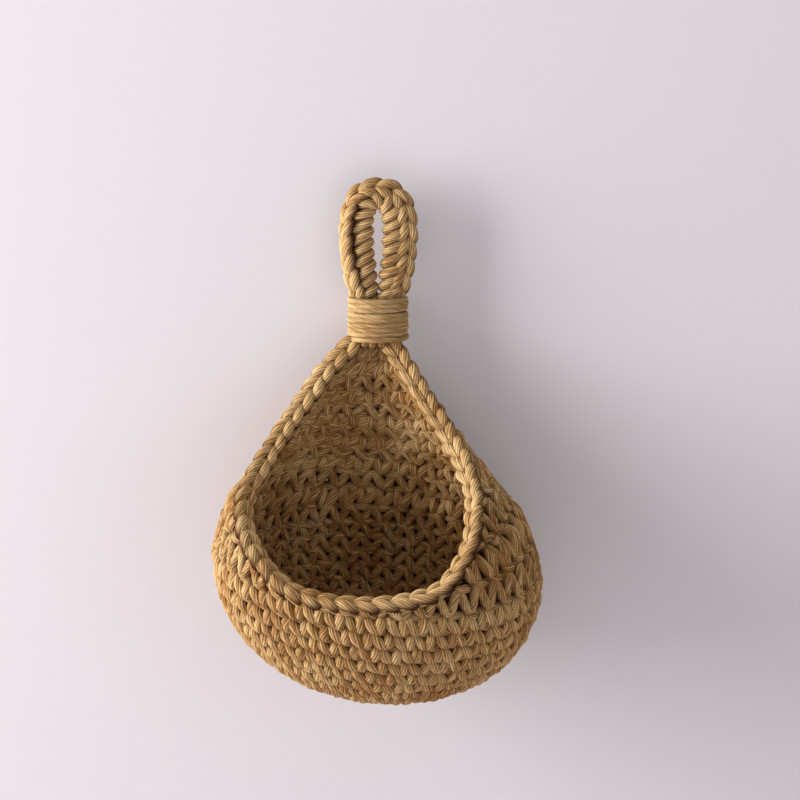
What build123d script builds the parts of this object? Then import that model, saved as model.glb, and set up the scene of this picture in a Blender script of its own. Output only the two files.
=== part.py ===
"""Hanging crocheted fruit basket: a teardrop pouch worked in thick cord, with
a round base, a bowl wall, a back panel that narrows upwards, a braided edging
round the open front, a gathered neck bound with cord, and a hanging loop.

Millimetres, +Z up. The origin is where the hook touches the inner top of the
loop. +X is to the right of someone facing the open front, +Y goes to the wall.
"""
import math
import os

from build123d import *

# Bowl: the lower part of a squashed round form, tipped forward by its load
bowl_half_width = 85.0
bowl_half_depth = 57.5
bowl_round_depth = 74.0
bowl_middle_drop = 181.0
bowl_tilt = 16.0
bowl_lean = 5.5
bowl_bottom_shift = 5.5
bowl_fullness = 0.93
fabric = 8.5
base_edge_angle = 46.0
base_flat_angle = 84.0
base_levels = 7

# Back panel: from the middle of the bowl up to the neck
neck_bottom_drop = 72.0
wall_gap = 12.5
middle_back = 8.6
neck_back = 8.5
panel_shift = 6.0
panel_levels = 10
panel_height_shares = (0.12, 0.26, 0.38, 0.50, 0.64, 0.80, 1.0)
panel_width_shares = (0.985, 0.895, 0.775, 0.65, 0.515, 0.365, 0.195)
panel_depth_shares = (1.0, 0.95, 0.84, 0.67, 0.47, 0.31, 0.15)
panel_tilt_shares = (1.0, 0.90, 0.75, 0.58, 0.38, 0.18, 0.0)
panel_shift_shares = (0.0, 0.10, 0.32, 0.62, 0.88, 0.95, 0.7)
hollow_top_share = 0.90
wall_top_share = 0.035
rest_patch_cut = 0.5

# Open front: the line of its edge seen from the side, from the neck to the lip
opening_turn = 2.0
lip_reach_share = 1.878
lip_drop = 192.0
edge_reach_shares = (0.0, 0.10, 0.21, 0.42, 0.60, 0.76, 0.88, 1.0)
edge_drop_shares = (0.0, 0.21, 0.38, 0.55, 0.67, 0.805, 0.94, 1.0)
edge_top_reach = 1.0
edge_points = 7
edge_steps = 16
lip_search = 45.0
neck_ease = 1.0

# Edging round the open front
edging = 9.4
seat_clearance = 0.3

# Gathered neck and the cord bound round it
neck_top_drop = 47.0
neck_half_width = 12.7
neck_half_depth = 7.9
binding_cord = 2.3
binding_pitch = 2.85
binding_turns = 8
binding_sides = 10

# Hanging loop
loop_half_width = 20.8
loop_top = 14.5
loop_thickness = 9.4
loop_foot_half_width = 14.6
loop_shoulder_drop = 30.0
loop_round = 3.6
eye_half_width = 3.0
eye_foot_half_width = 1.2
eye_length = 35.0
eye_round = 1.4

# One overrun serves every cut
overrun = 20.0


def mix(start, end, share):
    """Value that lies at a share of the way from start to end."""
    return start + (end - start) * share


def table(shares, values, share):
    """Value at a share in a short table, joined by a smooth curve."""
    last = len(shares) - 1
    for i in range(last):
        if share <= shares[i + 1] or i == last - 1:
            break
    before = max(i - 1, 0)
    after = min(i + 2, last)
    step = shares[i + 1] - shares[i]
    t = (share - shares[i]) / step
    slope_a = (values[i + 1] - values[before]) / (shares[i + 1] - shares[before]) * step
    slope_b = (values[after] - values[i]) / (shares[after] - shares[i]) * step
    rise = values[i + 1] - values[i]
    bend = slope_a + slope_b - 2 * rise
    return values[i] + t * (slope_a + t * (3 * rise - 2 * slope_a - slope_b + t * bend))


class Ring:
    """One tilted oval of the pouch. The fabric's outer face is at depth 0."""

    def __init__(self, share, inset=0.0):
        # share runs from -1 at the bottom, through 0 at the middle, to 1 at the neck
        heights = (0.0,) + panel_height_shares
        above = max(share, 0.0)
        width = table(heights, (1.0,) + panel_width_shares, above)
        depth = table(heights, (1.0,) + panel_depth_shares, above)
        tilt = bowl_tilt * table(heights, (1.0,) + panel_tilt_shares, above)
        lean = bowl_lean * table(heights, (1.0,) + panel_tilt_shares, above)
        shift = panel_shift * table(heights, (0.0,) + panel_shift_shares, above)
        down = math.radians(90 * max(-share, 0.0))
        spread = math.cos(down) ** bowl_fullness
        sink = math.sin(down) ** bowl_fullness
        self.half_width = (bowl_half_width * width - inset) * spread
        self.half_depth = (bowl_half_depth * depth - inset) * spread
        self.x_dir = Vector(1, 0, 0).rotate(Axis.Y, lean)
        back_dir = Vector(0, 1, 0).rotate(Axis.X, tilt)
        back_dir = (back_dir - self.x_dir * back_dir.dot(self.x_dir)).normalized()
        self.back_dir = back_dir
        self.up_dir = self.x_dir.cross(back_dir)
        full_depth = bowl_half_depth * depth
        back = mix(middle_back, neck_back, above)
        level = mix(-bowl_middle_drop, -neck_bottom_drop, above)
        centre = Vector(-shift, back - full_depth * math.cos(math.radians(tilt)), level)
        centre += Vector(bowl_bottom_shift * sink, 0, 0)
        self.centre = centre - self.up_dir * (bowl_round_depth - inset) * sink

    def plane(self):
        return Plane(origin=self.centre, x_dir=self.x_dir, z_dir=self.up_dir)

    def face(self):
        return self.plane() * Ellipse(self.half_width, self.half_depth)

    def point(self, turn):
        """Point of the oval at an angle in degrees from its front, to the right."""
        side = self.x_dir * self.half_width * math.sin(math.radians(turn))
        return self.centre + side - self.back_dir * self.half_depth * math.cos(math.radians(turn))


def pouch_form(inset, top_share):
    """Closed solid form of the pouch, inset from its outer face."""
    lowest = -base_flat_angle / 90
    shares = [lowest * (base_levels - i) / base_levels for i in range(base_levels)]
    shares += [top_share * i / panel_levels for i in range(panel_levels + 1)]
    return loft([Ring(share, inset).face() for share in shares])


def below(share):
    """Big block that lies under the plane of one ring."""
    block = 4 * bowl_half_width
    return Ring(share).plane() * Pos(0, 0, -block / 2) * Box(block, block, block)


def edge_reach(level):
    """How far the open front's edge reaches forward at a level."""
    drop_share = (-level - neck_bottom_drop) / (lip_drop - neck_bottom_drop)
    lip_reach = bowl_half_depth * lip_reach_share
    return mix(edge_top_reach, lip_reach, table(edge_drop_shares, edge_reach_shares, drop_share))


def edge_line():
    """Points (y, z) of the open front's edge seen from the side, neck first."""
    levels = [-mix(neck_bottom_drop, lip_drop, i / edge_steps) for i in range(edge_steps + 1)]
    return [(-edge_reach(level), level) for level in levels]


def turn_axis():
    return Axis((0, Ring(0.0).centre.Y, 0), (0, 0, 1))


def moved_back(points, distance):
    """The edge line moved back along its normal, away from the open front."""
    moved = []
    for i, (y, z) in enumerate(points):
        y_ahead, z_ahead = points[min(i + 1, len(points) - 1)]
        y_behind, z_behind = points[max(i - 1, 0)]
        length = math.hypot(y_ahead - y_behind, z_ahead - z_behind)
        moved.append((
            y - distance * (z_ahead - z_behind) / length,
            z + distance * (y_ahead - y_behind) / length,
        ))
    return moved


def front_cut():
    """Solid in front of the fabric's edge, which lies behind the edging."""
    points = moved_back(edge_line(), edging / 2 + seat_clearance)
    points[0] = (points[0][0] + neck_ease, points[0][1])
    far = points[-1][0] - overrun
    high = points[0][1] + overrun
    slope_y = points[-1][0] - points[-2][0]
    slope_z = points[-1][1] - points[-2][1]
    stretch = (far - points[-1][0]) / slope_y
    low = points[-1][1] + slope_z * stretch
    with_ends = Spline(*[Vector(0, y, z) for y, z in points])
    outline = Wire([
        Edge(with_ends.wrapped),
        Edge.make_line((0, *points[-1]), (0, far, low)),
        Edge.make_line((0, far, low), (0, far, high)),
        Edge.make_line((0, far, high), (0, points[0][0], high)),
        Edge.make_line((0, points[0][0], high), (0, *points[0])),
    ])
    reach = 2 * bowl_half_width
    solid = extrude(Face(outline), amount=reach, dir=(1, 0, 0), both=True)
    return solid.rotate(turn_axis(), -opening_turn)


def edge_gap(share, turn):
    """How far a point of the fabric's middle lies behind the edge line."""
    point = Ring(share, fabric / 2).point(turn)
    flat = point - turn_axis().position
    flat = flat.rotate(Axis.Z, opening_turn) + turn_axis().position
    return flat.Y + edge_reach(flat.Z)


def solve(gap, low, high):
    """Value between low and high where gap changes sign."""
    sign = gap(low) > 0
    for _ in range(40):
        middle = (low + high) / 2
        if (gap(middle) > 0) == sign:
            low = middle
        else:
            high = middle
    return (low + high) / 2


def lip_share_at(turn):
    """Ring on which the edge lies at an angle near the lip."""
    return solve(lambda share: edge_gap(share, turn), 0.0, 0.5)


def edging_path():
    """Points of the edging's middle line, from the neck's left to its right."""
    low = -lip_search
    high = lip_search
    while high - low > 1:
        third = (high - low) / 3
        if lip_share_at(low + third) < lip_share_at(high - third):
            high -= third
        else:
            low += third
    lip_turn = (low + high) / 2
    lip_share = lip_share_at(lip_turn)
    points = []
    for i in range(-edge_points, edge_points + 1):
        if i == 0:
            points.append(Ring(lip_share, fabric / 2).point(lip_turn))
            continue
        share = mix(lip_share, 1.0, (i / edge_points) ** 2)
        far_side = 180.0 if i > 0 else -180.0
        turn = solve(lambda turn: edge_gap(share, turn), lip_turn, far_side)
        points.append(Ring(share, fabric / 2).point(turn))
    return points


def biarc(start, start_dir, end, end_dir):
    """Two tangent arcs from start to end with the given directions."""
    chord = end - start
    both = start_dir + end_dir
    along = chord.dot(both)
    spread = 4 - both.dot(both)
    size = (math.sqrt(along ** 2 + spread * chord.dot(chord)) - along) / spread
    joint = (start + start_dir * size + end - end_dir * size) / 2
    first = Edge.make_tangent_arc(start, start_dir, joint)
    second = Edge.make_tangent_arc(joint, first % 1, end)
    return [first, second]


def tube(points, directions, section, run):
    """Cord on biarcs through points, with a straight run at each end."""
    edges = [Edge.make_line(points[0] - directions[0] * run, points[0])]
    for i in range(len(points) - 1):
        edges += biarc(points[i], directions[i], points[i + 1], directions[i + 1])
    edges.append(Edge.make_line(points[-1], points[-1] + directions[-1] * run))
    path = Wire(edges)
    start = Plane(origin=path @ 0, z_dir=path % 0)
    return sweep(start * section, path=path)


def edging_tube():
    points = edging_path()
    directions = []
    for i in range(len(points)):
        ahead = points[min(i + 1, len(points) - 1)]
        behind = points[max(i - 1, 0)]
        directions.append((ahead - behind).normalized())
    return tube(points, directions, Circle(edging / 2), edging)


def above_level(level):
    """Big block that lies over a level."""
    block = 4 * bowl_half_width
    return Pos(0, 0, level + block / 2) * Box(block, block, block)


def behind_wall():
    """Big block behind the flat patch that rests on the wall."""
    block = 4 * bowl_half_width
    return Pos(0, wall_gap - rest_patch_cut + block / 2, -block / 2) * Box(block, block, block)


def make_pouch():
    """Base, bowl wall and back panel, cut from one shell of fabric."""
    shell = pouch_form(0.0, 1.0) - pouch_form(fabric, hollow_top_share)
    shell -= front_cut()
    shell -= behind_wall()
    shell -= above_level(-neck_bottom_drop - seat_clearance)
    base_share = -base_edge_angle / 90
    base = shell & below(base_share)
    wall = (shell & below(wall_top_share)) - below(base_share)
    panel = shell - below(wall_top_share)
    return base, wall, panel


def make_edging():
    return edging_tube() - above_level(-neck_bottom_drop - seat_clearance)


def make_neck():
    """Gathered fabric inside the binding, as one oval core."""
    oval = Pos(0, 0, -neck_bottom_drop) * Ellipse(neck_half_width, neck_half_depth)
    return extrude(oval, amount=neck_bottom_drop - neck_top_drop)


def binding_point(quarters):
    """Point of the binding's helix after a number of quarter turns."""
    turn = math.radians(90 * quarters)
    out = seat_clearance + binding_cord / 2
    x = (neck_half_width + out) * math.sin(turn)
    y = (neck_half_depth + out) * math.cos(turn)
    middle = (neck_bottom_drop + neck_top_drop) / 2
    rise = binding_pitch * (quarters - 2 * binding_turns) / 4
    return Vector(x, y, rise - middle)


def make_binding():
    """One unbroken cord wound round the neck, its ends tucked at the back."""
    points = []
    directions = []
    step = 0.001
    for quarter in range(4 * binding_turns + 1):
        points.append(binding_point(quarter))
        ahead = binding_point(quarter + step) - binding_point(quarter - step)
        directions.append(ahead.normalized())
    section = RegularPolygon(binding_cord / 2, binding_sides)
    return tube(points, directions, section, binding_cord)


def least_binding_gap():
    """Smallest gap between neighbouring turns, measured on points."""
    steps = 24
    points = [binding_point(i * 4 / steps) for i in range(steps * binding_turns + 1)]
    least = binding_pitch
    for i, point in enumerate(points):
        for other in points[i + steps // 2:]:
            least = min(least, (other - point).length)
    return least - binding_cord


def make_loop():
    """Flat crocheted loop with its long eye."""
    foot = -neck_top_drop + seat_clearance
    crown = loop_top - loop_half_width
    shoulder = (loop_half_width, -loop_shoulder_drop)
    side = [
        Edge.make_line((-loop_foot_half_width, foot), (loop_foot_half_width, foot)),
        Edge.make_tangent_arc(shoulder, (0, -1), (loop_foot_half_width, foot)),
        Edge.make_line(shoulder, (loop_half_width, crown)),
        Edge.make_three_point_arc((loop_half_width, crown), (0, loop_top), (-loop_half_width, crown)),
        Edge.make_line((-loop_half_width, crown), (-shoulder[0], shoulder[1])),
        Edge.make_tangent_arc((-shoulder[0], shoulder[1]), (0, -1), (-loop_foot_half_width, foot)),
    ]
    eye_top = -eye_half_width
    eye_foot = eye_foot_half_width - eye_length
    eye = [
        Edge.make_three_point_arc((eye_half_width, eye_top), (0, 0), (-eye_half_width, eye_top)),
        Edge.make_line((-eye_half_width, eye_top), (-eye_foot_half_width, eye_foot)),
        Edge.make_three_point_arc(
            (-eye_foot_half_width, eye_foot), (0, -eye_length), (eye_foot_half_width, eye_foot)),
        Edge.make_line((eye_foot_half_width, eye_foot), (eye_half_width, eye_top)),
    ]
    middle = Plane(origin=(0, 0, 0), x_dir=(1, 0, 0), z_dir=(0, -1, 0))
    blank = extrude(middle * Face(Wire(side)), amount=loop_thickness / 2, both=True)
    rim = blank.faces().filter_by(Axis.Y).edges()
    foot_edges = blank.faces().sort_by(Axis.Z)[0].edges()
    blank = fillet([edge for edge in rim if edge not in foot_edges], loop_round)
    hole = extrude(middle * Face(Wire(eye)), amount=loop_thickness, both=True)
    loop = blank - hole
    mouth = loop.edges().filter_by_position(Axis.Y, -loop_thickness / 2, -loop_thickness / 2)
    mouth += loop.edges().filter_by_position(Axis.Y, loop_thickness / 2, loop_thickness / 2)
    inner = [edge for edge in mouth if abs(edge.center().X) < 2 * eye_half_width]
    inner = [edge for edge in inner if edge.bounding_box().min.Z > -eye_length - eye_half_width]
    inner = [edge for edge in inner if edge.bounding_box().max.Z < eye_half_width]
    return fillet(inner, eye_round)


def main():
    os.makedirs("parts", exist_ok=True)
    base, wall, panel = make_pouch()
    nodes = {
        "base_disc": base,
        "bowl_wall": wall,
        "back_panel": panel,
        "rim_edging": make_edging(),
        "neck_gather": make_neck(),
        "neck_binding": make_binding(),
        "hanging_loop": make_loop(),
    }
    for name, solid in nodes.items():
        export_step(solid, f"parts/{name}.step")
        print(name, round(solid.volume), "mm3")
    print("least gap between turns of the binding", round(least_binding_gap(), 2), "mm")


if __name__ == "__main__":
    main()
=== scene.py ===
"""Looks of a hanging crocheted fruit basket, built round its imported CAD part.

Every section of the basket is worked stitch by stitch in round cord, and
stands for the plain solid of the same section. The tables and the work on
paths are in millimetres, and a mesh is written in metres.
"""
import math

import bpy
import numpy as np
from bpy.props import FloatProperty, FloatVectorProperty, IntProperty, PointerProperty
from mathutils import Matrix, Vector


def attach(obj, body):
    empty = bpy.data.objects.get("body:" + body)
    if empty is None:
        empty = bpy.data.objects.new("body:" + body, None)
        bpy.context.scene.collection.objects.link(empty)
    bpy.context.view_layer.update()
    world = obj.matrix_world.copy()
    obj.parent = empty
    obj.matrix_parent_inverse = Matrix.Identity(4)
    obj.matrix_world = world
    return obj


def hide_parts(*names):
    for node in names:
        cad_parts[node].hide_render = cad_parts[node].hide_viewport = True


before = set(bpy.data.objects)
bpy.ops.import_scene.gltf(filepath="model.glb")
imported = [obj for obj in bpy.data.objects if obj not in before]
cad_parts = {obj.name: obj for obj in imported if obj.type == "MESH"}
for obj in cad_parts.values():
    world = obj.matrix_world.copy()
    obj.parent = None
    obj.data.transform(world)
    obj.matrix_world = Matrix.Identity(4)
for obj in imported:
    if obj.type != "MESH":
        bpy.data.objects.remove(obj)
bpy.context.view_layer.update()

bl_info = {
    "name": "Crocheted fruit basket",
    "version": (1, 0, 0),
    "blender": (4, 2, 0),
    "location": "3D View > Sidebar > Basket",
    "description": "Works the sections of a hanging fruit basket, stitch by stitch",
    "category": "Object",
}

BODY = "root"
MM = 0.001

# The pouch's form, as the solids have it
BOWL_HALF_WIDTH = 85.0
BOWL_HALF_DEPTH = 57.5
BOWL_ROUND_DEPTH = 74.0
BOWL_MIDDLE_DROP = 181.0
BOWL_TILT = math.radians(16.0)
BOWL_LEAN = math.radians(5.5)
BOWL_BOTTOM_SHIFT = 5.5
BOWL_FULLNESS = 0.93
FABRIC = 8.5
BASE_TOP_SHARE = -46.0 / 90.0
WALL_TOP_SHARE = 0.035
NECK_BOTTOM_DROP = 72.0
MIDDLE_BACK = 8.6
NECK_BACK = 8.5
PANEL_SHIFT = 6.0
WALL_REST = 12.0
HEIGHT_SHARES = (0.0, 0.12, 0.26, 0.38, 0.50, 0.64, 0.80, 1.0)
WIDTH_SHARES = (1.0, 0.985, 0.895, 0.775, 0.65, 0.515, 0.365, 0.195)
DEPTH_SHARES = (1.0, 1.0, 0.95, 0.84, 0.67, 0.47, 0.31, 0.15)
TILT_SHARES = (1.0, 1.0, 0.90, 0.75, 0.58, 0.38, 0.18, 0.0)
SHIFT_SHARES = (0.0, 0.0, 0.10, 0.32, 0.62, 0.88, 0.95, 0.7)

# The open front's edge, seen from the side
OPENING_TURN = math.radians(2.0)
LIP_REACH = 1.878 * BOWL_HALF_DEPTH
LIP_DROP = 192.0
EDGE_TOP_REACH = 1.0
EDGE_REACH_SHARES = (0.0, 0.10, 0.21, 0.42, 0.60, 0.76, 0.88, 1.0)
EDGE_DROP_SHARES = (0.0, 0.21, 0.38, 0.55, 0.67, 0.805, 0.94, 1.0)

# The neck and the cord bound round it
NECK_TOP_DROP = 47.0
NECK_HALF_WIDTH = 12.7
NECK_HALF_DEPTH = 7.9
BINDING_PITCH = 2.5
BINDING_TURNS = 9

# One stitch: places along the row in stitches, up the row in rows, and out of
# the fabric in millimetres, with the cord's thickness there as a share
STITCH = np.array((
    (-0.50, 0.98, -0.8, 0.86), (-0.45, 0.88, 1.3, 0.98), (-0.33, 0.55, 2.5, 1.20),
    (-0.17, 0.22, 2.0, 1.08), (-0.06, 0.02, 0.3, 0.88), (0.00, -0.06, -1.8, 0.86),
    (0.14, -0.10, -2.6, 0.86), (0.12, 0.00, -0.6, 0.86), (0.11, 0.16, 1.7, 1.02),
    (0.20, 0.54, 2.6, 1.20), (0.33, 0.88, 1.4, 1.00), (0.28, 1.02, -0.8, 0.88),
    (0.02, 1.00, -2.4, 0.95), (-0.28, 1.04, -1.6, 0.95), (-0.34, 1.12, 0.2, 0.9),
    (-0.05, 1.10, 1.3, 0.95), (0.30, 1.03, 0.6, 0.95),
))
STITCH_LEAN = 0.26

# Cords on a row's back: height of their zigzag in rows, lift out of the fabric,
# thickness as a share, and points for each half stitch
BACKING_CORDS = ((0.0, 0.0, 1.0, 1), (0.62, -1.7, 1.05, 2))

# Levels of the first round of the base and of the panel's last row, the rise of the
# panel's rows at their sides, and how far each round starts past the one below
BASE_MIDDLE = -0.985
PANEL_TOP = 0.985
PANEL_RISE = 0.16
SPIRAL_SHIFT = 0.13
ROW_SAMPLES = 1441

# How a row meets the open front: the level in the row that is measured, how far
# it has to lie behind the edge there, and how far below the edge its cord ends
ROW_FOOT = 0.15
EDGE_CLEARANCE = 4.0
RIM_CLEARANCE = 0.004

# Painted shade on skin deep in the work: how far out of the work a cord's skin
# gets the full painted shade, and from where it keeps its own colour, and what
# counts as extra there for a wound cord and for the links of a chain
FULL_SHADE_OUT = 1.1
NO_SHADE_OUT = 4.2
WOUND_LIFT = 1.9
LINK_LIFT = 0.8

# One link of the chain edge: along in links, sideways and out in millimetres, and
# the thickness as a share
LINK = np.array((
    (-0.10, -0.3, 0.2, 0.75), (0.10, -0.9, 1.5, 0.90), (0.45, -2.2, 1.9, 1.10),
    (0.90, -3.3, 1.0, 1.04), (1.18, -2.9, -0.8, 0.90), (1.24, -0.9, -2.0, 0.85),
    (1.24, 0.9, -2.0, 0.85), (1.18, 2.9, -0.8, 0.90), (0.90, 3.3, 1.0, 1.04),
    (0.45, 2.2, 1.9, 1.10), (0.10, 0.9, 1.5, 0.90), (-0.10, 0.3, 0.2, 0.75),
    (0.15, 0.1, -2.6, 0.80), (0.65, -0.1, -3.0, 0.80),
))

# The edging: how far it turns to the outside, and how its two ends are drawn in
# to the neck from a level on, as a share of their width and upwards
EDGING_OUTWARD = 0.35
DRAWN_FROM, DRAWN_OVER = 0.84, 0.15
DRAWN_IN, DRAWN_UP = 0.35, 3.0

# The strands gathered in the neck, by rings: distance out as a share, and number
NECK_RINGS = ((1.0, 13), (0.45, 6))

# The binding: how far its turns lean, and stand off the neck
BINDING_LEAN = 1.3
BINDING_GAP = 0.35

# The loop's left half from the neck up, as x and z: the core that stitches are
# wrapped over, and the chain round it
LOOP_CORE = ((-4.9, -52.0), (-5.6, -42.0), (-6.9, -33.0), (-8.0, -23.0), (-8.3, -12.0),
             (-7.9, -4.0), (-5.2, 2.6), (0.0, 5.0))
LOOP_CHAIN = ((-8.6, -52.0), (-12.4, -42.0), (-14.9, -31.0), (-16.2, -20.0), (-16.2, -8.0),
              (-14.2, 2.0), (-8.8, 8.6), (0.0, 11.0))
LOOP_LINK = 8.6

# How far the loop's chain sits in from its line, and how much it faces outwards,
# and forwards from its left to its right
CHAIN_INSET = 0.8
CHAIN_OUTWARD = 0.8
CHAIN_FORWARD = ((-16.0, 16.0), (0.35, 3.6))

# The stitches wrapped over the loop's core
WRAP_PITCH = 5.9
WRAP_HALF_WIDTH = 3.7
WRAP_HALF_DEPTH = 2.3
WRAP_BUNCHING = 1.5

# Seeds of the chance in handwork
BASE_SEED, BOWL_SEED, PANEL_SEED = 11, 23, 37
EDGING_SEED, NECK_SEED, LOOP_SEED = 41, 53, 67

# How a mesh is laid out: sides of a cord for each yarn, length of cord for one
# bake strip of even shape, and the part of the bake that the ends' discs leave
SIDES_PER_YARN = 3
STRIP_SHAPE = 18.0
STRIP_PAD = 0.04
STRIPS_TOP = 0.97
STRIPS_FOOT = 0.002
DISCS_MIDDLE = 0.986
CORD_UV_SCALE = 0.1

# How much each thing moves a cord's colour from the common yarn to the palest
YARN_TINT, FIBRE_TINT, BLOTCH_TINT = 1.4, 1.5, 1.1
# The shares per part are painted light and shade: the same cord is made paler on the parts that
# look more brightly lit
PALE_SHARES = {
    "crochet_cord": 0.34, "edging_cord": 0.46, "binding_cord": 0.68, "loop_cord": 0.52}
FIBRES_ROUND, FIBRES_ALONG = 60.0, 3.0
BLOTCH_SCALE = 38.0
# Painted shade in the grooves between the yarns
GROOVE_PAINTED_SHADE = 0.7

# The stage, in metres, with the lens's focal length in widths of the picture
BACKDROP_Y = 0.016
SHEET_SIDE = 3.0
FLOOR_SPOT = (0.0, -1.4, -0.46)
LIT_SPOT = (0.0, -0.03, -0.12)
KEY_SPOT = (-2.1, -0.58, 0.22)
KEY_WIDTH, KEY_HEIGHT = 0.9, 2.0
FILL_SPOT = (1.2, -1.2, -0.1)
FILL_SIZE = 1.2
FILL_SHARE = 0.03
VIEW_TARGET = (0.0115, 0.0, -0.1033)
VIEW_DISTANCE = 1.2
VIEW_RISE = math.radians(12.0)
FOCAL_WIDTHS = 2268.0 / 800.0
SENSOR_WIDTH = 36.0

WHITE = (1.0, 1.0, 1.0, 1.0)
FRONT = (0.0, -1.0, 0.0)


class BasketSizes(bpy.types.PropertyGroup):
    """Sizes of the cord and of the stitches."""

    cord_radius: FloatProperty(
        name="Cord radius", description="Radius of the working cord",
        default=0.0026, min=0.001, max=0.005, precision=5, unit="LENGTH")
    yarns: IntProperty(
        name="Yarns", description="Yarns that show round the cord", default=11, min=3, max=16)
    yarn_groove: FloatProperty(
        name="Groove", description="Depth of the groove between two yarns",
        default=0.00042, min=0.0, max=0.002, precision=5, unit="LENGTH")
    twist_length: FloatProperty(
        name="Twist", description="Length of cord in which its yarns turn once",
        default=0.036, min=0.01, max=0.2, unit="LENGTH")
    stitch_width: FloatProperty(
        name="Stitch width", description="Room that one stitch takes along its row",
        default=0.0102, min=0.005, max=0.02, precision=4, unit="LENGTH")
    base_rounds: IntProperty(
        name="Base rounds", description="Rounds of the base", default=6, min=2, max=20)
    bowl_rounds: IntProperty(
        name="Bowl rounds", description="Closed rounds of the bowl", default=7, min=2, max=20)
    panel_rows: IntProperty(
        name="Panel rows", description="Rows of the back panel", default=12, min=2, max=30)
    unevenness: FloatProperty(
        name="Unevenness", description="How far handwork moves the cord about",
        default=0.00035, min=0.0, max=0.002, precision=5, unit="LENGTH")
    link_length: FloatProperty(
        name="Link length", description="Length of one link of the chain edge",
        default=0.0094, min=0.005, max=0.02, precision=4, unit="LENGTH")
    binding_radius: FloatProperty(
        name="Binding radius", description="Radius of the cord bound round the neck",
        default=0.00155, min=0.0005, max=0.003, precision=5, unit="LENGTH")


class BasketColours(bpy.types.PropertyGroup):
    """Colours of the cord, and the stage that it hangs on."""

    light: FloatVectorProperty(
        name="Light yarn", description="Colour of the palest yarns",
        default=(0.88, 0.61, 0.29), size=3, min=0.0, max=1.0, subtype="COLOR")
    middle: FloatVectorProperty(
        name="Yarn", description="Colour of most of the yarn",
        default=(0.36, 0.165, 0.045), size=3, min=0.0, max=1.0, subtype="COLOR")
    # Colour of the painted shade in the grooves between yarns and on cords deep in the work
    painted_shade_colour: FloatVectorProperty(
        name="Groove", description="Colour deep between the yarns",
        default=(0.065, 0.018, 0.006), size=3, min=0.0, max=1.0, subtype="COLOR")
    wall: FloatVectorProperty(
        name="Backdrop", description="Colour of the backdrop and the floor",
        default=(0.75, 0.712, 0.738), size=3, min=0.0, max=1.0, subtype="COLOR")
    key_power: FloatProperty(
        name="Key light", description="Power of the key light in watts", default=88.0, min=0.0)
    sky_strength: FloatProperty(
        name="Sky", description="Strength of the light from all round", default=0.43, min=0.0)
    seen_strength: FloatProperty(
        name="Seen sky", description="Brightness of the sky where the camera sees it",
        default=0.74, min=0.0)


def mix(start, end, share):
    """Value that lies at a share of the way from start to end."""
    return start + (end - start) * share


def table(shares, values, share):
    """Values at shares in a short table, joined by a smooth curve."""
    shares, values = np.asarray(shares), np.asarray(values)
    last = len(shares) - 1
    i = np.clip(np.searchsorted(shares, share) - 1, 0, last - 1)
    before, after = np.maximum(i - 1, 0), np.minimum(i + 2, last)
    step = shares[i + 1] - shares[i]
    t = (share - shares[i]) / step
    slope_a = (values[i + 1] - values[before]) / (shares[i + 1] - shares[before]) * step
    slope_b = (values[after] - values[i]) / (shares[after] - shares[i]) * step
    rise = values[i + 1] - values[i]
    bend = slope_a + slope_b - 2 * rise
    return values[i] + t * (slope_a + t * (3 * rise - 2 * slope_a - slope_b + t * bend))


def unit(vectors):
    """Vectors at length 1."""
    return vectors / np.linalg.norm(vectors, axis=-1, keepdims=True)


def pouch_points(share, turn, inset=FABRIC / 2):
    """Points of the pouch, share up from -1 at the bottom to 1 at the neck, and
    turn in degrees from the front to the right."""
    share, turn = np.broadcast_arrays(np.asarray(share, float), np.asarray(turn, float))
    above = np.clip(share, 0.0, 1.15)
    width = table(HEIGHT_SHARES, WIDTH_SHARES, above)
    depth = table(HEIGHT_SHARES, DEPTH_SHARES, above)
    tilt = BOWL_TILT * table(HEIGHT_SHARES, TILT_SHARES, above)
    lean = BOWL_LEAN * table(HEIGHT_SHARES, TILT_SHARES, above)
    shift = PANEL_SHIFT * table(HEIGHT_SHARES, SHIFT_SHARES, above)
    down = np.radians(90 * np.clip(-share, 0.0, 0.9999))
    spread = np.cos(down) ** BOWL_FULLNESS
    sink = np.sin(down) ** BOWL_FULLNESS
    half_width = (BOWL_HALF_WIDTH * width - inset) * spread
    half_depth = (BOWL_HALF_DEPTH * depth - inset) * spread
    nil = np.zeros_like(tilt)
    right = np.stack((np.cos(lean), nil, -np.sin(lean)), -1)
    back = np.stack((nil, np.cos(tilt), np.sin(tilt)), -1)
    back = unit(back - right * np.sum(back * right, -1, keepdims=True))
    up = np.cross(right, back)
    rear = mix(MIDDLE_BACK, NECK_BACK, above)
    level = mix(-BOWL_MIDDLE_DROP, -NECK_BOTTOM_DROP, above)
    middle_y = rear - BOWL_HALF_DEPTH * depth * np.cos(tilt)
    centre = np.stack((BOWL_BOTTOM_SHIFT * sink - shift, middle_y, level), -1)
    centre = centre - up * ((BOWL_ROUND_DEPTH - inset) * sink)[..., None]
    angle = np.radians(turn)
    across = right * (half_width * np.sin(angle))[..., None]
    return centre + across - back * (half_depth * np.cos(angle))[..., None]


def pouch_outward(share, turn):
    """Directions straight out of the pouch's fabric."""
    step = 0.004
    along = pouch_points(share, turn + 1.0) - pouch_points(share, turn - 1.0)
    upward = pouch_points(share + step, turn) - pouch_points(share - step, turn)
    return unit(np.cross(along, upward))


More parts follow.
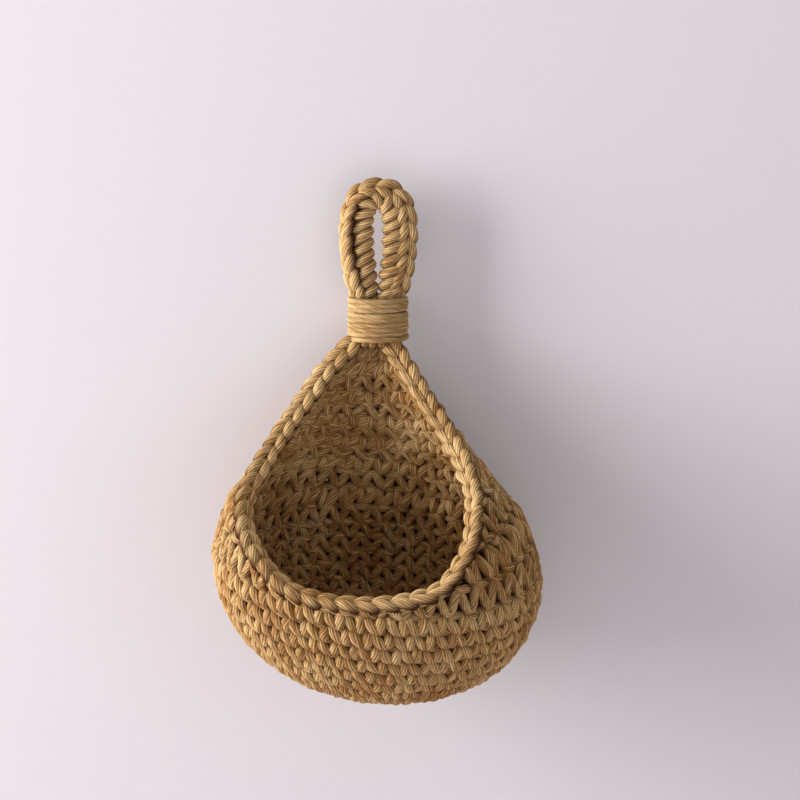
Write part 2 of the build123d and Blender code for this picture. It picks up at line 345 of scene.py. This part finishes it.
def edge_gap(share, turn):
    """How far points of the pouch lie behind the open front's edge."""
    points = pouch_points(share, turn)
    axis_y = MIDDLE_BACK - BOWL_HALF_DEPTH * math.cos(BOWL_TILT)
    sin, cos = math.sin(OPENING_TURN), math.cos(OPENING_TURN)
    y = points[..., 0] * sin + (points[..., 1] - axis_y) * cos + axis_y
    drop = (-points[..., 2] - NECK_BOTTOM_DROP) / (LIP_DROP - NECK_BOTTOM_DROP)
    reach = table(EDGE_DROP_SHARES, EDGE_REACH_SHARES, np.clip(drop, 0.0, 1.0))
    gap = y + mix(EDGE_TOP_REACH, LIP_REACH, reach)
    return np.where(drop > 1.0, LIP_REACH, gap)


def smooth_path(points, per):
    """B-spline through the neighbourhood of control points, per samples each."""
    points = np.asarray(points, float)
    ends = (2 * points[0] - points[1], 2 * points[-1] - points[-2])
    points = np.vstack((ends[0], points, ends[1]))
    t = (np.arange(per) / per)[:, None]
    weights = ((1 - t) ** 3 / 6, (3 * t ** 3 - 6 * t ** 2 + 4) / 6,
               (-3 * t ** 3 + 3 * t ** 2 + 3 * t + 1) / 6, t ** 3 / 6)
    runs = [sum(w * points[i + k] for k, w in enumerate(weights)) for i in range(len(points) - 3)]
    return np.vstack(runs + [points[-2]])


def lengths_along(path):
    """Distance of each point of a path from its start."""
    steps = np.linalg.norm(np.diff(path[:, :3], axis=0), axis=1)
    return np.concatenate(((0.0,), np.cumsum(steps)))


class Cordwork:
    """A mesh of round, twisted cords, gathered until it becomes one piece."""

    def __init__(self, sizes):
        self.sizes = sizes
        self.around = SIDES_PER_YARN * sizes.yarns
        self.rings = []
        self.along = []
        self.unshaded_share = []

    def add(self, path, radius=None):
        """Adds a cord on points with x, y, z and the thickness as a share, then, for the
        painted shade, the way out of the work there and how far out the point lies."""
        radius = (radius or self.sizes.cord_radius) / MM
        ahead = unit(np.gradient(path[:, :3], axis=0))
        side = np.empty_like(ahead)
        held = np.cross(ahead[0], (0.31, 0.52, 0.79))
        for i, way in enumerate(ahead):
            held = held - way * held.dot(way)
            held /= math.sqrt(held.dot(held))
            side[i] = held
        across = np.cross(ahead, side)
        along = lengths_along(path)
        twist = 2 * math.pi * along / (self.sizes.twist_length / MM)
        sides = np.arange(self.around)
        angles = 2 * math.pi * sides / self.around
        groove = np.where(sides % SIDES_PER_YARN == 0, self.sizes.yarn_groove / MM, 0.0)
        scale = radius / (self.sizes.cord_radius / MM)
        taper = np.minimum(1.0, 0.25 + np.minimum(along, along[-1] - along) / (1.2 * radius))
        reach = (radius * path[:, 3] * taper)[:, None] - groove * scale
        turned = twist[:, None] + angles
        offset = side[:, None] * (reach * np.cos(turned))[..., None]
        offset = offset + across[:, None] * (reach * np.sin(turned))[..., None]
        out = np.sum(offset * path[:, None, 4:7], -1) / scale + path[:, 7:8]
        self.rings.append(path[:, None, :3] + offset)
        self.along.append(along)
        # Painted shade: skin that lies deep in the work, near the fabric's middle, keeps less of
        # its own colour
        self.unshaded_share.append(np.clip((np.abs(out) - FULL_SHADE_OUT) / (NO_SHADE_OUT - FULL_SHADE_OUT), 0.0, 1.0))

    def piece(self, name, nodes, finish):
        """Makes the gathered cords one piece that stands for the solids nodes."""
        around = self.around
        total = sum(along[-1] for along in self.along)
        columns = max(1, round(math.sqrt(total / STRIP_SHAPE)))
        count = sum(len(ring) - 1 for ring in self.rings)
        rows = math.ceil(count / columns)
        corners, quads, cord_uv, bake_uv, unshaded_share_uv, caps = [], [], [], [], [], []
        first = done = 0
        j = np.arange(around)
        for ring, along, unshaded_share in zip(self.rings, self.along, self.unshaded_share):
            steps = len(ring) - 1
            i = np.arange(steps)[:, None]
            a = first + i * around + j
            b = first + i * around + (j + 1) % around
            quads.append(np.stack((a, b, b + around, a + around), -1).reshape(-1, 4))
            left = np.broadcast_to(j / around, a.shape)
            right = left + 1 / around
            v_low = np.broadcast_to(along[:-1, None] * CORD_UV_SCALE, a.shape)
            v_high = np.broadcast_to(along[1:, None] * CORD_UV_SCALE, a.shape)
            cord_uv.append(np.stack((left, v_low, right, v_low, right, v_high, left, v_high), -1))
            nil = np.zeros(a.shape)
            # Painted shade at each corner of a side, carried to the material in a UV layer
            near, far = unshaded_share[:-1], unshaded_share[1:]
            beside = np.roll(near, -1, 1), np.roll(far, -1, 1)
            unshaded_share_uv.append(np.stack((near, nil, beside[0], nil, beside[1], nil, far, nil), -1))
            place = done + i
            column, row = place // rows, place % rows
            u_left = (column + mix(STRIP_PAD, 1 - STRIP_PAD, left)) / columns
            u_right = (column + mix(STRIP_PAD, 1 - STRIP_PAD, right)) / columns
            v_low = np.broadcast_to(row / rows * STRIPS_TOP + STRIPS_FOOT, a.shape)
            v_high = np.broadcast_to((row + 1) / rows * STRIPS_TOP + STRIPS_FOOT, a.shape)
            corners_uv = (u_left, v_low, u_right, v_low, u_right, v_high, u_left, v_high)
            bake_uv.append(np.stack(corners_uv, -1))
            caps.append(first + j[::-1])
            caps.append(first + steps * around + j)
            corners.append(ring.reshape(-1, 3))
            first += len(ring) * around
            done += steps
        corners = np.concatenate(corners) * MM
        quads = np.concatenate(quads)
        caps = np.array(caps)
        mesh = bpy.data.meshes.new(name)
        mesh.vertices.add(len(corners))
        mesh.vertices.foreach_set("co", corners.ravel())
        loops = np.concatenate((quads.ravel(), caps.ravel()))
        mesh.loops.add(len(loops))
        mesh.loops.foreach_set("vertex_index", loops)
        sizes = np.concatenate((np.full(len(quads), 4), np.full(len(caps), around)))
        mesh.polygons.add(len(sizes))
        mesh.polygons.foreach_set("loop_start", np.concatenate(((0,), np.cumsum(sizes)[:-1])))
        mesh.polygons.foreach_set("use_smooth", np.ones(len(sizes), bool))
        flat = 2 * math.pi * j / around
        disc = np.stack((np.cos(flat), np.sin(flat)), -1) * 0.4
        cells = (np.arange(len(caps)) + 0.5) / len(caps)
        spots = np.stack((cells, np.full(len(caps), DISCS_MIDDLE)), -1)[:, None]
        small = np.array((min(1 / len(caps), 0.02), 0.02))
        cap_bake = (spots + disc * small).reshape(-1, 2)
        cap_cord = np.tile(np.stack((j / around, np.zeros(around)), -1), (len(caps), 1))
        cap_unshaded_share = np.zeros(cap_cord.shape)
        for title, quad_uv, cap_uv in (("cord", cord_uv, cap_cord),
                                       ("unshaded_share", unshaded_share_uv, cap_unshaded_share),
                                       ("OFBake", bake_uv, cap_bake)):
            layer = mesh.uv_layers.new(name=title)
            flat_uv = np.concatenate([uv.reshape(-1, 2) for uv in quad_uv] + [cap_uv])
            layer.data.foreach_set("uv", flat_uv.ravel())
        mesh.update(calc_edges=True)
        mesh.validate()
        mesh.materials.append(finish)
        made = bpy.data.objects.new(name, mesh)
        bpy.context.scene.collection.objects.link(made)
        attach(made, BODY)
        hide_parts(*nodes)
        return made


def row_shares(start, end, rows):
    """Shares between two levels of the pouch that cut it into even rows."""
    shares = np.linspace(start, end, 400)
    turns = np.arange(0, 360, 20)
    grid = pouch_points(shares[:, None], turns[None])
    steps = np.linalg.norm(np.diff(grid, axis=0), axis=-1).mean(1)
    along = np.concatenate(((0.0,), np.cumsum(steps)))
    return np.interp(np.linspace(0, along[-1], rows + 1), along, shares)


def lifted(share, turn):
    """Level of a row: the rows of the panel rise towards the sides."""
    rise = PANEL_RISE * np.sin(np.radians(turn)) ** 2 * np.clip(3 * share, 0.0, 1.0)
    return share + rise * np.clip(1.0 - share, 0.0, 1.0)


def solve(gap, low, high):
    """Values between low and high at which gap changes sign."""
    low, high = np.broadcast_arrays(low, high)
    sign = gap(low) > 0
    for _ in range(40):
        half = (low + high) / 2
        before = (gap(half) > 0) == sign
        low, high = np.where(before, half, low), np.where(before, high, half)
    return (low + high) / 2


def rim_line():
    """Levels and turns of the open front's edge, from the neck's left to its right."""
    turns = np.linspace(-45.0, 45.0, 181)
    levels = solve(lambda share: edge_gap(share, turns), np.zeros(181), np.full(181, 0.5))
    lip = np.argmin(levels)
    side = np.linspace(-1.0, 1.0, 161)
    shares = mix(levels[lip], 0.99, side ** 2)
    far = np.where(side < 0, -180.0, 180.0)
    turns = solve(lambda turn: edge_gap(shares, turn), np.full(161, turns[lip]), far)
    return turns, shares


def rim_level(turn):
    """Level of the open front's edge at a turn, where it runs across the rows."""
    turns, shares = rim_line()
    across = shares < 0.5
    turn = (turn + 180.0) % 360.0 - 180.0
    return np.interp(turn, turns[across], shares[across], left=2.0, right=2.0)


def crochet_row(work, low, high, number, chance, turned):
    """Adds one round or row of single crochet between two levels. Its right side
    faces inwards where the work was turned round."""
    sizes = work.sizes
    turns = np.linspace(0.0, 360.0, ROW_SAMPLES)
    behind = edge_gap(lifted(mix(low, high, ROW_FOOT), turns), turns) > EDGE_CLEARANCE
    if behind.all():
        start, end = 0.0, 360.0
    else:
        start = turns[np.argmax(behind & (turns > 1))]
        end = turns[len(turns) - 1 - np.argmax(behind[::-1] & (turns[::-1] < 359))]
    fine = np.linspace(start, end, ROW_SAMPLES)
    along = lengths_along(pouch_points(lifted(mix(low, high, 0.5), fine), fine))
    count = max(6, round(along[-1] / (sizes.stitch_width / MM)))
    closed = end - start > 359.9
    offset = 0.5 * (number % 2) + SPIRAL_SHIFT * number if closed else 0.0
    uneven = sizes.unevenness / MM
    stitches = []
    for k in range(count):
        stitch = STITCH.copy()
        stitch[:, 2] += chance.normal(0.0, uneven, len(stitch))
        stitch[:, 0] += chance.normal(0.0, 0.10 * uneven, len(stitch)) + chance.normal(0.0, 0.02)
        stitch[:, 1] += chance.normal(0.0, 0.10 * uneven, len(stitch)) + chance.normal(0.0, 0.03)
        stitch[:, 3] *= 1.0 + chance.normal(0.0, 0.03)
        stitch[:, 0] += k + 0.5 - STITCH_LEAN * stitch[:, 1]
        stitches.append(stitch)
    places = np.concatenate(stitches)
    distance = (places[:, 0] + offset) / count * along[-1]
    if closed:
        lap = np.floor(distance / along[-1])
        turn = np.interp(distance - lap * along[-1], along, fine) + 360.0 * lap
    else:
        turn = np.interp(distance, along, fine)
    share = mix(lifted(low, turn), lifted(high, turn), places[:, 1])
    share = np.minimum(share, rim_level(turn) - RIM_CLEARANCE)
    side = -1.0 if turned else 1.0
    outward = pouch_outward(share, turn)
    lift = places[:, 2] * side
    points = pouch_points(share, turn) + outward * lift[:, None]
    furthest = WALL_REST - 0.9 * sizes.cord_radius / MM
    points[:, 1] = np.minimum(points[:, 1], furthest)
    work.add(smooth_path(np.column_stack((points, places[:, 3], outward, lift)), 3))
    for zigzag, lift, thick, per in BACKING_CORDS:
        turn = np.linspace(start, end, 4 * count + 1)[:: 3 - per]
        height = zigzag * (0.85 - np.cos(np.arange(len(turn)) * math.pi / 2 + 0.4))
        share = mix(lifted(low, turn), lifted(high, turn), height)
        share = np.minimum(share, rim_level(turn) - RIM_CLEARANCE)
        outward = pouch_outward(share, turn)
        points = pouch_points(share, turn) + outward * (lift * side)
        points[:, 1] = np.minimum(points[:, 1], furthest)
        same = np.ones(len(turn))
        path = np.column_stack((points, thick * same, outward, lift * side * same))
        work.add(smooth_path(path, per))


def chain_along(work, line, faces, link, chance, flip=False):
    """Adds a chain of links on a line, facing the way that faces gives."""
    sizes = work.sizes
    along = lengths_along(line)
    count = max(2, round(along[-1] / link))
    uneven = sizes.unevenness / MM
    links = []
    for k in range(count):
        one = LINK.copy()
        one[:, 1:3] += chance.normal(0.0, 0.6 * uneven, (len(one), 2))
        one[:, 3] *= 1.0 + chance.normal(0.0, 0.03)
        one[:, 0] += k
        links.append(one)
    places = np.concatenate(links)
    if flip:
        places[:, 0] = count - places[:, 0]
        places[:, 1] = -places[:, 1]
    distance = np.clip(places[:, 0] / count, 0.0, 1.0) * along[-1]
    ahead = unit(np.gradient(line, axis=0))
    faces = unit(faces - ahead * np.sum(faces * ahead, -1, keepdims=True))
    sideways = np.cross(ahead, faces)

    def at(values):
        return np.stack([np.interp(distance, along, values[:, k]) for k in range(3)], -1)

    points = at(line) + at(sideways) * places[:, 1:2] + at(faces) * places[:, 2:3]
    # How far out the links count for the painted shade
    lift = places[:, 2] + LINK_LIFT
    work.add(smooth_path(np.column_stack((points, places[:, 3], at(faces), lift)), 3))


class Value:
    """A value in a material. Arithmetic on it adds Math nodes."""

    def __init__(self, finish, socket):
        self.finish = finish
        self.socket = socket

    def worked(self, operation, first, second):
        """Value of one Math node."""
        made = self.finish.node("ShaderNodeMath", {"operation": operation}, {0: first, 1: second})
        return Value(self.finish, made.outputs[0])

    def __add__(self, other):
        return self.worked("ADD", self, other)

    def __radd__(self, other):
        return self.worked("ADD", other, self)

    def __sub__(self, other):
        return self.worked("SUBTRACT", self, other)

    def __rsub__(self, other):
        return self.worked("SUBTRACT", other, self)

    def __mul__(self, other):
        return self.worked("MULTIPLY", self, other)

    def __rmul__(self, other):
        return self.worked("MULTIPLY", other, self)

    def __pow__(self, other):
        return self.worked("POWER", self, other)

    def __rpow__(self, other):
        return self.worked("POWER", other, self)

    def sine(self):
        return self.worked("SINE", self, 0.0)

    def size(self):
        return self.worked("ABSOLUTE", self, 0.0)


class Finish:
    """A material or a world while its nodes are being joined up."""

    def __init__(self, owner, shader="Principled BSDF"):
        owner.use_nodes = True
        self.owner = owner
        self.tree = owner.node_tree
        self.shader = self.tree.nodes[shader]

    def node(self, kind, settings, sockets):
        """Adds a node: its settings first, then its sockets' values or links."""
        made = self.tree.nodes.new(kind)
        for key, value in settings.items():
            setattr(made, key, value)
        for key, value in sockets.items():
            self.feed(made.inputs[key], value)
        return made

    def feed(self, socket, value):
        """Links a Value to a socket, or sets the socket to a number or colour."""
        if isinstance(value, Value):
            self.tree.links.new(value.socket, socket)
        else:
            socket.default_value = value

    def value(self, node, output=0):
        """One of a node's outputs as a Value."""
        return Value(self, node.outputs[output])


def cord_finish(name, colours, yarns, pale_share):
    """Matt twisted cotton cord: yarns of slightly different colour, with fibres
    along them, painted shade in the grooves between them and on skin deep in the work."""
    finish = Finish(bpy.data.materials.new(name))
    uv = finish.node("ShaderNodeUVMap", {"uv_map": "cord"}, {})
    parts = finish.node("ShaderNodeSeparateXYZ", {}, {"Vector": finish.value(uv)})
    around, along = finish.value(parts, "X"), finish.value(parts, "Y")

    def noise(x, y, scale, detail):
        place = finish.node("ShaderNodeCombineXYZ", {}, {"X": x, "Y": y})
        made = finish.node("ShaderNodeTexNoise", {}, {
            "Vector": finish.value(place), "Scale": scale, "Detail": detail, "Roughness": 0.6})
        return finish.value(made, 0)

    yarn = noise(around * yarns, along * 0.9, 1.0, 0.0)
    fibre = noise(around * FIBRES_ROUND, along * FIBRES_ALONG, 1.0, 1.0)
    place = finish.node("ShaderNodeTexCoord", {}, {})
    blotch = finish.node("ShaderNodeTexNoise", {}, {
        "Vector": finish.value(place, "Object"), "Scale": BLOTCH_SCALE, "Detail": 2.0})
    tint = (yarn - 0.5) * YARN_TINT + (fibre - 0.5) * FIBRE_TINT
    tint = tint + (finish.value(blotch, 0) - 0.5) * BLOTCH_TINT + pale_share
    # Share of its own colour that the painted shade leaves to skin deep in the work
    uv = finish.node("ShaderNodeUVMap", {"uv_map": "unshaded_share"}, {})
    parts = finish.node("ShaderNodeSeparateXYZ", {}, {"Vector": finish.value(uv)})
    painted_recess_shade = 1.0 - finish.value(parts, "X")
    groove = (1.0 - (around * (yarns * math.pi)).sine().size()) ** 1.5

    def blend(share, first, second):
        made = finish.node("ShaderNodeMix", {"data_type": "RGBA", "clamp_factor": True}, {
            0: share, 6: first, 7: second})
        return finish.value(made, 2)

    colour = blend(tint, (*colours.middle, 1.0), (*colours.light, 1.0))
    # Painted shade in the grooves between the yarns
    colour = blend(groove * GROOVE_PAINTED_SHADE, colour, (*colours.painted_shade_colour, 1.0))
    # Painted shade on skin deep in the work
    colour = blend(painted_recess_shade ** 1.1, colour, (*colours.painted_shade_colour, 1.0))
    bump = finish.node("ShaderNodeBump", {}, {
        "Strength": 0.8, "Distance": 0.0005, "Height": fibre})
    finish.feed(finish.shader.inputs["Base Color"], colour)
    finish.feed(finish.shader.inputs["Normal"], finish.value(bump))
    finish.feed(finish.shader.inputs["Roughness"], 0.88)
    finish.feed(finish.shader.inputs["Specular IOR Level"], 0.10)
    return finish.owner


def finish_for(slot):
    """The cord finish of one of the record's slots, made once."""
    name = f"twisted_{slot}"
    if name in bpy.data.materials:
        return bpy.data.materials[name]
    scene = bpy.context.scene
    return cord_finish(name, scene.basket_colours, scene.basket_sizes.yarns, PALE_SHARES[slot])


def work_rows(node, start, end, rows, seed, label, back_and_forth=False):
    """Crochets the rows of one section, each row a piece of its own."""
    sizes = bpy.context.scene.basket_sizes
    chance = np.random.default_rng(seed)
    shares = row_shares(start, end, rows)
    for number in range(rows):
        work = Cordwork(sizes)
        turned = back_and_forth and number % 2 == 0
        crochet_row(work, shares[number], shares[number + 1], number, chance, turned)
        work.piece(f"{label}_{number + 1:02d}", [node], finish_for("crochet_cord"))


class BASKET_OT_base_disc(bpy.types.Operator):
    """Crochets the rounds of the base from the middle out"""

    bl_idname = "basket.base_disc"
    bl_label = "Base rounds"

    def execute(self, context):
        rows = context.scene.basket_sizes.base_rounds
        work_rows("base_disc", BASE_MIDDLE, BASE_TOP_SHARE, rows, BASE_SEED, "base_round")
        return {"FINISHED"}


class BASKET_OT_bowl_wall(bpy.types.Operator):
    """Crochets the closed rounds of the bowl"""

    bl_idname = "basket.bowl_wall"
    bl_label = "Bowl rounds"

    def execute(self, context):
        rows = context.scene.basket_sizes.bowl_rounds
        work_rows("bowl_wall", BASE_TOP_SHARE, WALL_TOP_SHARE, rows, BOWL_SEED, "bowl_round")
        return {"FINISHED"}


class BASKET_OT_back_panel(bpy.types.Operator):
    """Crochets the rows of the back panel and its two wings"""

    bl_idname = "basket.back_panel"
    bl_label = "Panel rows"

    def execute(self, context):
        rows = context.scene.basket_sizes.panel_rows
        work_rows("back_panel", WALL_TOP_SHARE, PANEL_TOP, rows, PANEL_SEED, "panel_row", True)
        return {"FINISHED"}


class BASKET_OT_rim_edging(bpy.types.Operator):
    """Works the chain edge round the open front"""

    bl_idname = "basket.rim_edging"
    bl_label = "Chain edge"

    def execute(self, context):
        sizes = context.scene.basket_sizes
        turns, shares = rim_line()
        line = pouch_points(shares, turns)
        outward = pouch_outward(shares, turns)
        drawn = np.clip((shares - DRAWN_FROM) / DRAWN_OVER, 0.0, 1.0) ** 2
        line[:, 0] *= 1.0 - DRAWN_IN * drawn
        line[:, 2] += DRAWN_UP * drawn
        off_fabric = unit(np.cross(outward, unit(np.gradient(line, axis=0))))
        faces = unit(off_fabric + EDGING_OUTWARD * outward)
        work = Cordwork(sizes)
        chance = np.random.default_rng(EDGING_SEED)
        chain_along(work, line, faces, sizes.link_length / MM, chance)
        work.piece("rim_chain", ["rim_edging"], finish_for("edging_cord"))
        return {"FINISHED"}


class BASKET_OT_neck(bpy.types.Operator):
    """Gathers the neck and binds it with cord"""

    bl_idname = "basket.neck"
    bl_label = "Neck and binding"

    def execute(self, context):
        sizes = context.scene.basket_sizes
        chance = np.random.default_rng(NECK_SEED)
        radius = sizes.cord_radius / MM
        work = Cordwork(sizes)
        levels = np.linspace(-NECK_BOTTOM_DROP - 3.0, -NECK_TOP_DROP - 2.0, 12)
        for ring, strands in NECK_RINGS:
            for k in range(strands):
                turn = 2 * math.pi * (k + chance.normal(0.0, 0.06)) / strands
                swell = 1.0 + chance.normal(0.0, 0.02, len(levels))
                x = (NECK_HALF_WIDTH - radius) * ring * math.sin(turn) * swell
                y = (NECK_HALF_DEPTH - radius) * ring * math.cos(turn) * swell
                same = np.ones(len(levels))
                out = same * math.sin(turn), same * math.cos(turn), 0.0 * same
                path = np.column_stack((x, y, levels, same, *out, WOUND_LIFT * same))
                work.add(smooth_path(path, 4))
        work.piece("neck_strands", ["neck_gather"], finish_for("crochet_cord"))

        work = Cordwork(sizes)
        thick = sizes.binding_radius / MM
        steps = 24
        angle = 2 * math.pi * np.arange(steps * BINDING_TURNS + 1) / steps
        halves = np.arange(2 * BINDING_TURNS + 1)
        lean = BINDING_LEAN * np.where(halves % 2 == 0, 1.0, -0.5)
        lean += chance.normal(0.0, 0.28, len(halves))
        wander = np.interp(angle / math.pi, halves + 0.5, lean)
        swell = chance.normal(0.0, 0.35, len(halves))
        out = thick + BINDING_GAP + np.interp(angle / math.pi, halves, swell)
        middle = (NECK_BOTTOM_DROP + NECK_TOP_DROP) / 2
        rise = BINDING_PITCH * (angle / (2 * math.pi) - BINDING_TURNS / 2)
        x = (NECK_HALF_WIDTH + out) * np.sin(angle)
        y = (NECK_HALF_DEPTH + out) * np.cos(angle)
        z = rise - middle + wander
        same = np.ones(len(angle))
        path = (x, y, z, same, np.sin(angle), np.cos(angle), 0.0 * same, WOUND_LIFT * same)
        work.add(smooth_path(np.column_stack(path), 3), sizes.binding_radius)
        work.piece("neck_wrap", ["neck_binding"], finish_for("binding_cord"))
        return {"FINISHED"}


def both_halves(left):
    """Smooth line up the loop's left side and down its mirrored right side."""
    left = np.array(left)
    both = np.vstack((left, left[-2::-1] * (-1, 1)))
    return smooth_path(np.column_stack((both[:, 0], np.zeros(len(both)), both[:, 1])), 24)


class BASKET_OT_hanging_loop(bpy.types.Operator):
    """Works the loop: stitches wrapped over a core, with a chain round outside"""

    bl_idname = "basket.hanging_loop"
    bl_label = "Hanging loop"

    def execute(self, context):
        sizes = context.scene.basket_sizes
        chance = np.random.default_rng(LOOP_SEED)
        core = both_halves(LOOP_CORE)
        along = lengths_along(core)
        ahead = unit(np.gradient(core, axis=0))
        faces = np.tile(FRONT, (len(core), 1))
        sideways = np.cross(ahead, faces)
        turns = round(along[-1] / WRAP_PITCH)
        steps = 12
        angle = 2 * math.pi * np.arange(turns * steps + 1) / steps
        distance = angle / angle[-1] * along[-1] + WRAP_BUNCHING * np.sin(angle)
        distance = np.clip(distance, 0.0, along[-1])
        wide = WRAP_HALF_WIDTH + chance.normal(0.0, 0.14, len(angle))
        deep = WRAP_HALF_DEPTH + chance.normal(0.0, 0.12, len(angle))
        middle, beside, facing = (
            np.stack([np.interp(distance, along, values[:, k]) for k in range(3)], -1)
            for values in (core, sideways, faces))
        sine, cosine = np.sin(angle)[:, None], np.cos(angle)[:, None]
        points = middle + beside * (wide[:, None] * sine) + facing * (deep[:, None] * cosine)
        out = beside * sine + facing * cosine
        thick = 1.04 + 0.05 * np.sin(angle * 0.37)
        lift = np.full(len(angle), WOUND_LIFT)
        work = Cordwork(sizes)
        work.add(smooth_path(np.column_stack((points, thick, out, lift)), 3))
        plain = np.full(len(core), 0.9)
        work.add(np.column_stack((core, plain, faces, 0.0 * plain)))
        work.piece("loop_posts", ["hanging_loop"], finish_for("loop_cord"))

        line = both_halves(LOOP_CHAIN)
        ahead = unit(np.gradient(line, axis=0))
        outward = -np.cross(ahead, np.tile(FRONT, (len(line), 1)))
        work = Cordwork(sizes)
        forward = np.interp(line[:, 0], *CHAIN_FORWARD)[:, None]
        faces = CHAIN_OUTWARD * outward + forward * np.array(FRONT)
        chain_along(work, line - outward * CHAIN_INSET, faces, LOOP_LINK, chance)
        work.piece("loop_chain", ["hanging_loop"], finish_for("loop_cord"))
        return {"FINISHED"}


def plain_material(name, colour):
    """Matt material of one colour."""
    finish = Finish(bpy.data.materials.new(name))
    finish.feed(finish.shader.inputs["Base Color"], (*colour, 1.0))
    finish.feed(finish.shader.inputs["Roughness"], 0.95)
    finish.feed(finish.shader.inputs["Specular IOR Level"], 0.1)
    return finish


class BASKET_OT_stage(bpy.types.Operator):
    """Sets up the backdrop, the floor, the light and the camera"""

    bl_idname = "basket.stage"
    bl_label = "Stage"

    def execute(self, context):
        look = context.scene.basket_colours
        wall_finish = plain_material("backdrop_paint", look.wall)
        side = wall_finish.node("ShaderNodeNewGeometry", {}, {})
        clear = wall_finish.node("ShaderNodeBsdfTransparent", {}, {})
        output = wall_finish.tree.nodes["Material Output"]
        shader = wall_finish.value(wall_finish.shader)
        either = wall_finish.node("ShaderNodeMixShader", {}, {
            0: wall_finish.value(side, "Backfacing"), 1: shader, 2: wall_finish.value(clear)})
        wall_finish.feed(output.inputs["Surface"], wall_finish.value(either))
        wall = self.sheet("backdrop", (0.0, BACKDROP_Y, 0.0), wall_finish.owner)
        wall.rotation_euler = (math.radians(90.0), 0.0, 0.0)
        floor_finish = plain_material("floor_paint", look.wall)
        floor = self.sheet("floor", FLOOR_SPOT, floor_finish.owner)

        key = bpy.data.lights.new("key_light", "AREA")
        key.energy = look.key_power
        key.shape = "RECTANGLE"
        key.size, key.size_y = KEY_WIDTH, KEY_HEIGHT
        self.place(key, KEY_SPOT, LIT_SPOT)
        fill = bpy.data.lights.new("fill_light", "AREA")
        fill.energy = look.key_power * FILL_SHARE
        fill.size = FILL_SIZE
        self.place(fill, FILL_SPOT, LIT_SPOT)
        sky = Finish(bpy.data.worlds.new("even_light"), "Background")
        rays = sky.node("ShaderNodeLightPath", {}, {})
        seen = sky.value(rays, "Is Camera Ray")
        strength = seen * (look.seen_strength - look.sky_strength) + look.sky_strength
        sky.feed(sky.shader.inputs["Color"], WHITE)
        sky.feed(sky.shader.inputs["Strength"], strength)
        context.scene.world = sky.owner

        view = bpy.data.cameras.new("photo_view")
        view.sensor_width = SENSOR_WIDTH
        view.lens = FOCAL_WIDTHS * view.sensor_width
        view.clip_start = 0.05
        spot = (VIEW_TARGET[0], -VIEW_DISTANCE * math.cos(VIEW_RISE),
                VIEW_TARGET[2] + VIEW_DISTANCE * math.sin(VIEW_RISE))
        context.scene.camera = self.place(view, spot, VIEW_TARGET)
        context.scene.view_settings.view_transform = "Standard"
        return {"FINISHED"}

    def sheet(self, name, spot, material):
        """Square sheet at a spot, level until it is turned."""
        half = SHEET_SIDE / 2
        mesh = bpy.data.meshes.new(name)
        corners = [(-half, -half, 0), (half, -half, 0), (half, half, 0), (-half, half, 0)]
        mesh.from_pydata(corners, [], [(0, 1, 2, 3)])
        mesh.materials.append(material)
        made = bpy.data.objects.new(name, mesh)
        made.location = spot
        bpy.context.scene.collection.objects.link(made)
        return made

    def place(self, data, spot, target):
        """Light or camera at a spot, aimed at a target."""
        made = bpy.data.objects.new(data.name, data)
        made.location = spot
        made.rotation_euler = (Vector(target) - Vector(spot)).to_track_quat("-Z", "Y").to_euler()
        bpy.context.scene.collection.objects.link(made)
        return made


class BASKET_PT_panel(bpy.types.Panel):
    """Lists the basket's sizes, colours and pieces"""

    bl_label = "Crocheted basket"
    bl_idname = "BASKET_PT_panel"
    bl_space_type = "VIEW_3D"
    bl_region_type = "UI"
    bl_category = "Basket"

    def draw(self, context):
        for group in (context.scene.basket_sizes, context.scene.basket_colours):
            for name in group.bl_rna.properties.keys():
                if name not in ("rna_type", "name"):
                    self.layout.prop(group, name)
        for operator in OPERATORS:
            self.layout.operator(operator.bl_idname)


OPERATORS = (
    BASKET_OT_base_disc,
    BASKET_OT_bowl_wall,
    BASKET_OT_back_panel,
    BASKET_OT_rim_edging,
    BASKET_OT_neck,
    BASKET_OT_hanging_loop,
    BASKET_OT_stage,
)
CLASSES = (BasketSizes, BasketColours, *OPERATORS, BASKET_PT_panel)


def register():
    for kind in CLASSES:
        bpy.utils.register_class(kind)
    bpy.types.Scene.basket_sizes = PointerProperty(type=BasketSizes)
    bpy.types.Scene.basket_colours = PointerProperty(type=BasketColours)


def unregister():
    del bpy.types.Scene.basket_colours
    del bpy.types.Scene.basket_sizes
    for kind in reversed(CLASSES):
        bpy.utils.unregister_class(kind)


def main():
    register()
    for operator in OPERATORS:
        group, name = operator.bl_idname.split(".")
        getattr(getattr(bpy.ops, group), name)()


if __name__ == "__main__":
    main()
